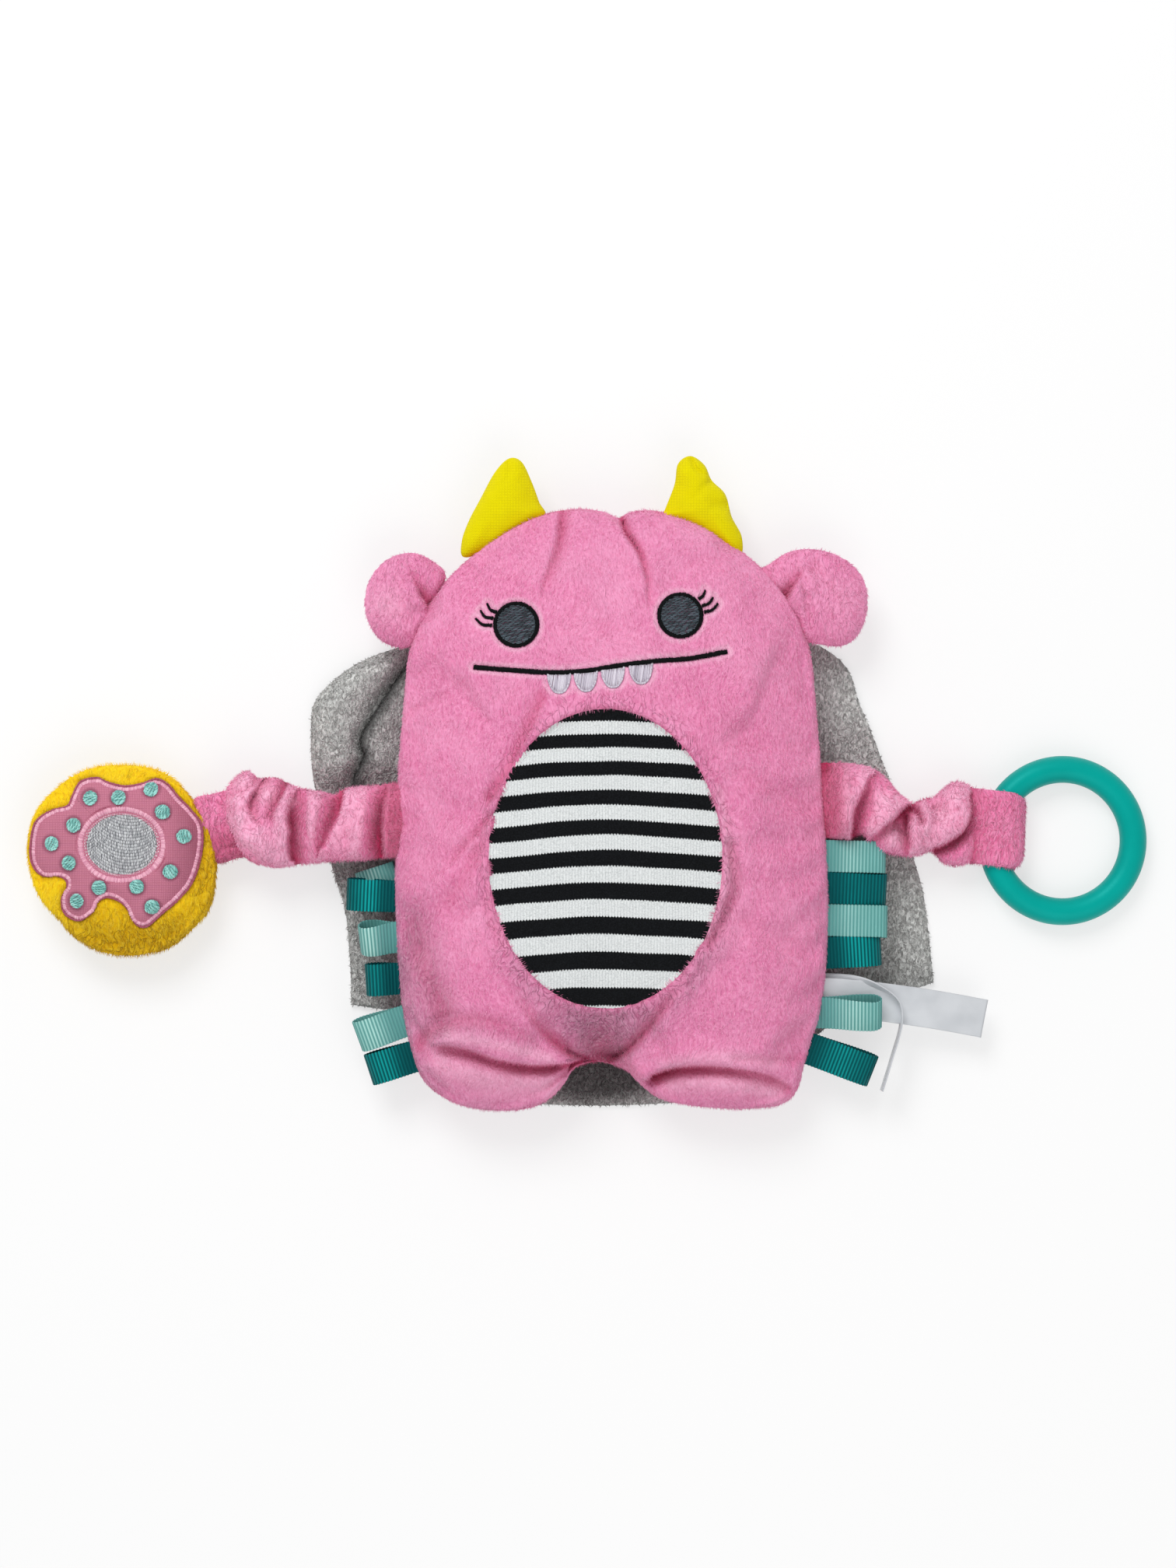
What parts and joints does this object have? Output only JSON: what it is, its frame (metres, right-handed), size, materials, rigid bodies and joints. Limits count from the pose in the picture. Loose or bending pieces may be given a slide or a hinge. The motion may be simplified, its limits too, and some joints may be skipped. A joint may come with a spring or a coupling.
{
  "type": "heatable plush toy",
  "caption": "Flat stuffed monster toy that takes a heat pack in its back, with gathered arms that end in a cloth doughnut and a grab ring, ribbon loops and a fleece cape.",
  "frame": {"origin": "on the underside of the cape, under the middle of the body, where the toy rests on its back", "axes": "+X to the grab ring, +Y to the crown, +Z out of the toy's front"},
  "size_m": [0.4522, 0.2639, 0.0475],
  "materials": {
    "pink_plush": "short pile",
    "yellow_plush": "short pile",
    "grey_fleece": "fleece",
    "batting": "loose fibre",
    "striped_jersey": "rib knit",
    "cotton": "plain weave",
    "horn_felt": "smooth fleece",
    "icing_satin": "satin",
    "black_thread": "satin stitch",
    "grey_thread": "satin stitch",
    "white_thread": "satin stitch",
    "silver_thread": "satin stitch",
    "pink_thread": "satin stitch",
    "pale_ribbon": "grosgrain",
    "deep_ribbon": "grosgrain",
    "white_satin": "satin",
    "tape": "hook and loop tape",
    "grain": "dry grain",
    "elastic": "woven elastic",
    "ring_plastic": "smooth moulded"
  },
  "bodies": {
    "torso": {"front_panel": "pink_plush", "belly_patch": "striped_jersey", "body_batting": "batting", "upper_back_panel": "pink_plush", "lower_back_panel": "pink_plush", "hook_strip": "tape", "loop_strip": "tape", "heat_pack_pouch": "cotton", "heat_pack_grain": "grain", "left_eye": "grey_thread", "left_eye_outline": "black_thread", "left_foot": "pink_plush", "right_eye": "grey_thread", "right_eye_outline": "black_thread", "right_foot": "pink_plush", "mouth_line": "black_thread", "tooth_1": "white_thread", "tooth_2": "white_thread", "tooth_3": "white_thread", "tooth_4": "white_thread"},
    "left_ear": {"left_ear": "pink_plush"},
    "left_horn": {"left_horn": "horn_felt"},
    "right_ear": {"right_ear": "pink_plush"},
    "right_horn": {"right_horn": "horn_felt"},
    "doughnut_arm": {"doughnut_arm_sleeve": "pink_plush", "doughnut_arm_elastic": "elastic"},
    "ring_arm": {"ring_arm_sleeve": "pink_plush", "ring_arm_elastic": "elastic"},
    "doughnut_wrist": {"doughnut_wrist": "pink_plush"},
    "doughnut": {"doughnut_front": "yellow_plush", "doughnut_back": "yellow_plush", "doughnut_stuffing": "batting", "doughnut_icing": "icing_satin", "doughnut_icing_border": "pink_thread", "doughnut_centre": "silver_thread"},
    "ring_band": {"ring_band": "pink_plush"},
    "grab_ring": {"grab_ring": "ring_plastic"},
    "left_ribbon_1": {"left_ribbon_1": "pale_ribbon"},
    "left_ribbon_2": {"left_ribbon_2": "deep_ribbon"},
    "left_ribbon_3": {"left_ribbon_3": "pale_ribbon"},
    "left_ribbon_4": {"left_ribbon_4": "deep_ribbon"},
    "left_ribbon_5": {"left_ribbon_5": "pale_ribbon"},
    "left_ribbon_6": {"left_ribbon_6": "deep_ribbon"},
    "right_ribbon_1": {"right_ribbon_1": "pale_ribbon"},
    "right_ribbon_2": {"right_ribbon_2": "deep_ribbon"},
    "right_ribbon_3": {"right_ribbon_3": "pale_ribbon"},
    "right_ribbon_4": {"right_ribbon_4": "deep_ribbon"},
    "right_ribbon_5": {"right_ribbon_5": "pale_ribbon"},
    "right_ribbon_6": {"right_ribbon_6": "deep_ribbon"},
    "side_tag": {"side_tag": "white_satin"},
    "cape": {"cape": "grey_fleece"}
  },
  "joints": [
    {"name": "left_ear_fold", "type": "hinge", "parent": "torso", "child": "left_ear", "pos_m": [-0.07361, 0.08306, 0.02], "axis": [-0.501, -0.8655, 0], "range_deg": [-60, 25], "stiffness_Nm_per_rad": 0.01},
    {"name": "left_horn_fold", "type": "hinge", "parent": "torso", "child": "left_horn", "pos_m": [-0.04417, 0.11089, 0.02], "axis": [-0.8828, -0.4698, 0], "range_deg": [-45, 45], "stiffness_Nm_per_rad": 0.01},
    {"name": "right_ear_fold", "type": "hinge", "parent": "torso", "child": "right_ear", "pos_m": [0.07361, 0.08306, 0.02], "axis": [-0.501, 0.8655, 0], "range_deg": [-60, 25], "stiffness_Nm_per_rad": 0.01},
    {"name": "right_horn_fold", "type": "hinge", "parent": "torso", "child": "right_horn", "pos_m": [0.04417, 0.11089, 0.02], "axis": [-0.8828, 0.4698, 0], "range_deg": [-45, 45], "stiffness_Nm_per_rad": 0.01},
    {"name": "doughnut_arm_lift", "type": "hinge", "parent": "torso", "child": "doughnut_arm", "pos_m": [-0.08652, -0.003, 0.02], "axis": [0, 1, 0], "range_deg": [0, 80]},
    {"name": "doughnut_arm_stretch", "type": "slide", "parent": "doughnut_arm", "child": "doughnut_wrist", "axis": [-0.9935, -0.0805, -0.0805], "range_m": [0, 0.04], "stiffness_N_per_m": 60, "deforming": ["doughnut_arm_sleeve", "doughnut_arm_elastic"]},
    {"name": "ring_arm_lift", "type": "hinge", "parent": "torso", "child": "ring_arm", "pos_m": [0.08617, 0.006, 0.02], "axis": [0, -1, 0], "range_deg": [0, 80]},
    {"name": "ring_arm_stretch", "type": "slide", "parent": "ring_arm", "child": "ring_band", "axis": [0.9319, -0.3066, -0.1935], "range_m": [0, 0.04], "stiffness_N_per_m": 60, "deforming": ["ring_arm_sleeve", "ring_arm_elastic"]},
    {"name": "doughnut_tilt", "type": "hinge", "parent": "doughnut_wrist", "child": "doughnut", "pos_m": [-0.15963, -0.008, 0.015], "axis": [-0.3141, 0.9494, 0], "range_deg": [-40, 40]},
    {"name": "grab_ring_turn", "type": "hinge", "parent": "ring_band", "child": "grab_ring", "pos_m": [0.1835, -0.0123, 0.00695], "axis": [0.0521, 0, 0.9986], "continuous": true},
    {"name": "left_ribbon_1_fold", "type": "hinge", "parent": "torso", "child": "left_ribbon_1", "pos_m": [-0.08788, -0.0256, 0.02], "axis": [0, 1, 0], "range_deg": [-12, 50], "stiffness_Nm_per_rad": 0.0005},
    {"name": "left_ribbon_2_fold", "type": "hinge", "parent": "torso", "child": "left_ribbon_2", "pos_m": [-0.08778, -0.0376, 0.02], "axis": [0, 1, 0], "range_deg": [-12, 50], "stiffness_Nm_per_rad": 0.0005},
    {"name": "left_ribbon_3_fold", "type": "hinge", "parent": "torso", "child": "left_ribbon_3", "pos_m": [-0.0872, -0.05, 0.02], "axis": [-0.0349, 0.9994, 0], "range_deg": [-12, 50], "stiffness_Nm_per_rad": 0.0005},
    {"name": "left_ribbon_4_fold", "type": "hinge", "parent": "torso", "child": "left_ribbon_4", "pos_m": [-0.08673, -0.0636, 0.02], "axis": [-0.0349, 0.9994, 0], "range_deg": [-12, 50], "stiffness_Nm_per_rad": 0.0005},
    {"name": "left_ribbon_5_fold", "type": "hinge", "parent": "torso", "child": "left_ribbon_5", "pos_m": [-0.08174, -0.081, 0.02], "axis": [-0.2419, 0.9703, 0], "range_deg": [-12, 50], "stiffness_Nm_per_rad": 0.0005},
    {"name": "left_ribbon_6_fold", "type": "hinge", "parent": "torso", "child": "left_ribbon_6", "pos_m": [-0.07776, -0.095, 0.02], "axis": [-0.2419, 0.9703, 0], "range_deg": [-12, 50], "stiffness_Nm_per_rad": 0.0005},
    {"name": "right_ribbon_1_fold", "type": "hinge", "parent": "torso", "child": "right_ribbon_1", "pos_m": [0.0884, -0.0221, 0.02], "axis": [-0.0872, -0.9962, 0], "range_deg": [-12, 50], "stiffness_Nm_per_rad": 0.0005},
    {"name": "right_ribbon_2_fold", "type": "hinge", "parent": "torso", "child": "right_ribbon_2", "pos_m": [0.08802, -0.034, 0.02], "axis": [-0.0872, -0.9962, 0], "range_deg": [-12, 50], "stiffness_Nm_per_rad": 0.0005},
    {"name": "right_ribbon_3_fold", "type": "hinge", "parent": "torso", "child": "right_ribbon_3", "pos_m": [0.08763, -0.046, 0.02], "axis": [-0.0872, -0.9962, 0], "range_deg": [-12, 50], "stiffness_Nm_per_rad": 0.0005},
    {"name": "right_ribbon_4_fold", "type": "hinge", "parent": "torso", "child": "right_ribbon_4", "pos_m": [0.08708, -0.058, 0.02], "axis": [-0.0872, -0.9962, 0], "range_deg": [-12, 50], "stiffness_Nm_per_rad": 0.0005},
    {"name": "right_ribbon_5_fold", "type": "hinge", "parent": "torso", "child": "right_ribbon_5", "pos_m": [0.08294, -0.0815, 0.02], "axis": [0, -1, 0], "range_deg": [0, 50], "stiffness_Nm_per_rad": 0.0005},
    {"name": "right_ribbon_6_fold", "type": "hinge", "parent": "torso", "child": "right_ribbon_6", "pos_m": [0.07836, -0.095, 0.02], "axis": [-0.3746, -0.9272, 0], "range_deg": [-12, 50], "stiffness_Nm_per_rad": 0.0005},
    {"name": "side_tag_fold", "type": "hinge", "parent": "torso", "child": "side_tag", "pos_m": [0.08509, -0.0735, 0.01825], "axis": [0, -1, 0], "range_deg": [-10, 0], "stiffness_Nm_per_rad": 0.0005},
    {"name": "cape_lift", "type": "hinge", "parent": "torso", "child": "cape", "pos_m": [0, 0.072, 0.0012], "axis": [1, 0, 0], "range_deg": [0, 150]}
  ]
}
